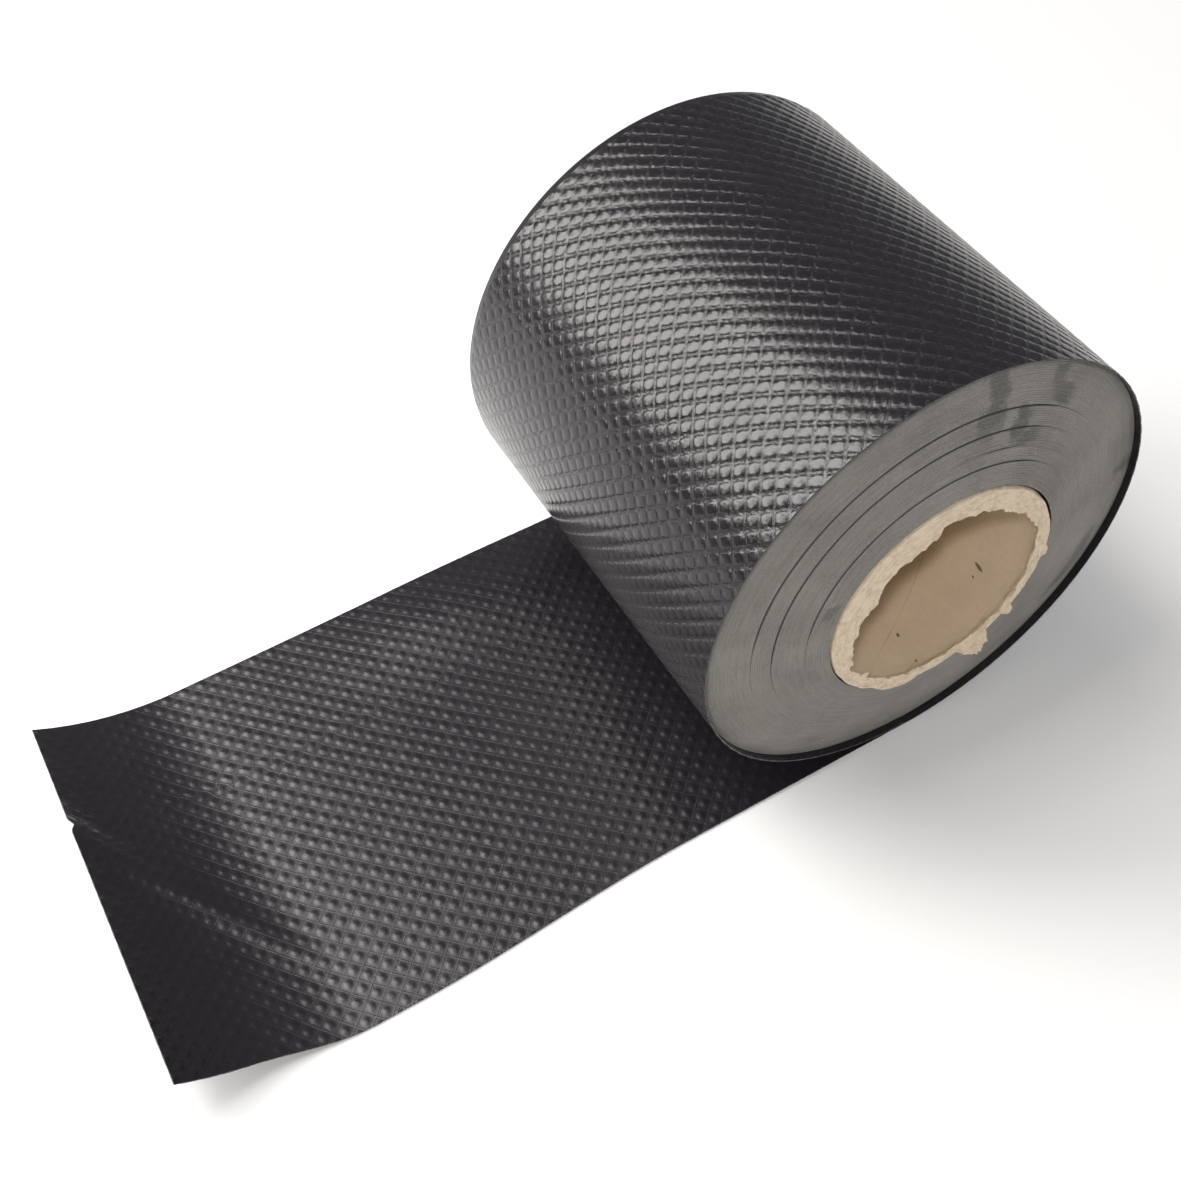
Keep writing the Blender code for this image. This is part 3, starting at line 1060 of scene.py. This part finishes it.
def core_section(angle):
    """One closed section of the tube as (radius, y, torn), in mm, from the far end round to it."""
    outside = [(CORE_MM, y, 0.0) for y in (FAR_MM - 0.4, 40, 0, -40, -70, NEAR_MM + 4)]
    outside.append((CORE_MM, NEAR_MM + 1.5, 0.2))
    top = [(*rim_point(angle, i / TOP_ROWS, False), 1.0) for i in range(TOP_ROWS + 1)]
    under = [(*rim_point(angle, 1 - i / UNDER_ROWS, True), 0.9 - 0.6 * i / UNDER_ROWS)
             for i in range(UNDER_ROWS)]
    bore = [(BORE_MM, y, 0.0) for y in (NEAR_MM + 4.5, -70, -40, 0, 40, FAR_MM - 0.4)]
    bore.insert(0, (BORE_MM, NEAR_MM + 2.8, 0.3))
    end = [(BORE_MM + 0.4, FAR_MM, 0.5), (CORE_MM - 0.4, FAR_MM, 0.5)]
    return outside + top + under + bore + end


def make_core():
    sections = [core_section(2 * pi * step / CORE_STEPS) for step in range(CORE_STEPS)]
    rows = len(sections[0])
    points = []
    for step, section in enumerate(sections):
        angle = 2 * pi * step / CORE_STEPS
        points += [(r * MM * sin(angle), y * MM, ROLL_RADIUS - r * MM * cos(angle)) for r, y, torn in section]
    torn_values = [torn for section in sections for r, y, torn in section]
    faces = []
    for step in range(CORE_STEPS):
        after = (step + 1) % CORE_STEPS
        for row in range(rows):
            below = (row + 1) % rows
            faces.append((step * rows + row, step * rows + below, after * rows + below, after * rows + row))
    mesh = bpy.data.meshes.new("core_shell")
    mesh.from_pydata(points, [], faces)
    mesh.attributes.new(TORN_NAME, "FLOAT", "POINT").data.foreach_set("value", torn_values)
    obj = new_object("core_shell", mesh)
    face_outwards(mesh)
    mesh.materials.append(CARDBOARD)
    smooth_with_edges(obj, 50)
    return obj


print("section of", len(core_section(0.0)), "points,", CORE_STEPS, "steps round")

# %% [markdown]
# ## Kraft board
# Smooth board in the bore is a warm tan with faint fibres along the tube and one slanting seam, where the
# inner ply's edges meet. Torn board is paler and rough. The mesh holds how torn each point is, and the
# material mixes the two by it.

# %% Cardboard
# The slanting seam in the bore: its turn in degrees per metre of tube, and where it is at the middle
SEAM_TURN = 2400.0
SEAM_START = 157.0
# Dark flecks in the bore: angle in degrees, place along the tube in mm, half their sizes in the same units
FLECKS = ((51.7, -68.8, 0.9, 2.2), (357.9, -69.3, 0.8, 0.9), (46.1, -69.5, 0.5, 0.6),
          (355.8, -80.9, 1.0, 0.5))
BOARD = ((0.625, 0.505, 0.365, 1.0), (0.665, 0.545, 0.405, 1.0))
BOARD_SHADE = (0.50, 0.39, 0.275, 1.0)
BOARD_MARK = (0.10, 0.06, 0.035, 1.0)
TORN_BOARD = ((0.59, 0.465, 0.33, 1.0), (0.76, 0.645, 0.495, 1.0))
TORN_SHADE = (0.48, 0.37, 0.24, 1.0)


def bore_marks(tree, angle, along, blotches):
    """How dark the seam and the flecks are at a point of the bore."""
    seam = maths(tree, "PINGPONG", angle - (along * SEAM_TURN + SEAM_START), 180.0)
    marks = between(tree, seam, 0.2, 0.75, 1.0, 0.0) * between(tree, blotches, 0.35, 0.6, 0.08, 0.30)
    for at_angle, at_y, span, length in FLECKS:
        along_it = (along - at_y * MM) / (length * MM)
        slant = (angle - at_angle) / span - along_it * 0.5
        away = slant * slant + along_it * along_it
        marks = maths(tree, "MAXIMUM", marks, between(tree, away, 0.5, 1.3, 0.85, 0.0))
    return marks


def make_cardboard():
    material, tree, shader = new_material("kraft_board")
    torn = add(tree, "ShaderNodeAttribute", attribute_name=TORN_NAME, attribute_type="GEOMETRY")
    torn = Value(tree, torn.outputs["Fac"])
    here = add(tree, "ShaderNodeTexCoord").outputs["Object"]
    angle, radius = round_the_end(tree, here)
    along = axes(tree, here)[1]

    fibres = noise_at(tree, vector_maths(tree, "MULTIPLY", here, (1, 0.3, 1)), 800, 5.0, 0.7, 0.4)
    blotches = noise_at(tree, here, 45, 4.0, 0.6)
    inside = between(tree, radius, BORE_MM + 0.15, BORE_MM + 0.3, 1.0, 0.0)
    smooth = mix_colours(tree, between(tree, fibres, 0.3, 0.7), *BOARD)
    smooth = mix_colours(tree, between(tree, blotches, 0.3, 0.75, 0.0, 0.35), smooth, BOARD_SHADE)
    smooth = mix_colours(tree, bore_marks(tree, angle, along, blotches) * inside, smooth, BOARD_MARK)

    plies = noise_at(tree, point(tree, angle * 0.16, radius * 1.5, along * 1300.0), 1.0, 4.0, 0.65, 0.5)
    clumps = plies * 0.6 + noise_at(tree, here, 480, 5.0, 0.7, 1.0) * 0.4
    tears = noise_at(tree, here, 150, 4.0, 0.65, 0.8)
    rough = mix_colours(tree, between(tree, clumps, 0.36, 0.58), *TORN_BOARD)
    rough = mix_colours(tree, between(tree, tears, 0.54, 0.72, 0.0, 0.5), rough, TORN_SHADE)

    plug(tree, mix_colours(tree, between(tree, torn, 0.1, 0.7), smooth, rough), shader.inputs["Base Color"])
    shader.inputs["Roughness"].default_value = 0.88
    shader.inputs["Specular IOR Level"].default_value = 0.25
    add_bump(tree, shader, clumps * (torn * 0.65 + 0.06) + fibres * 0.04, 0.6 * MM)
    return material


CARDBOARD = make_cardboard()
core_shell = make_core()
print("core", count_triangles(core_shell), "triangles")

# %% [markdown]
# ## Tie the pieces to the frame
# The strip's three meshes stand for the one strip of the CAD model, and the core's mesh for its core. Nothing
# moves against anything else, so all of them ride on the one body.

# %% Tie the pieces to the frame
for piece in (last_turn, loose_end, wound_turns):
    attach(piece, "root")
    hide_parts("dpc_strip")
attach(core_shell, "root")
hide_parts("core_tube")

# %% [markdown]
# ## Floor
# The photo has a plain white background, so the floor is one large plain sheet, a hair under the roll. It
# is pale enough to come out nearly white under these lights.

# %% Floor


def make_floor():
    mesh = bpy.data.meshes.new("floor")
    half = FLOOR_SIZE / 2
    corners = [(x, y, -FLOOR_DROP) for x, y in ((-half, -half), (half, -half), (half, half), (-half, half))]
    mesh.from_pydata(corners, [], [(0, 1, 2, 3)])
    floor = new_object("floor", mesh)
    material, tree, shader = new_material("pale_floor")
    shader.inputs["Base Color"].default_value = (0.80, 0.80, 0.80, 1.0)
    shader.inputs["Roughness"].default_value = 0.9
    mesh.materials.append(material)


make_floor()
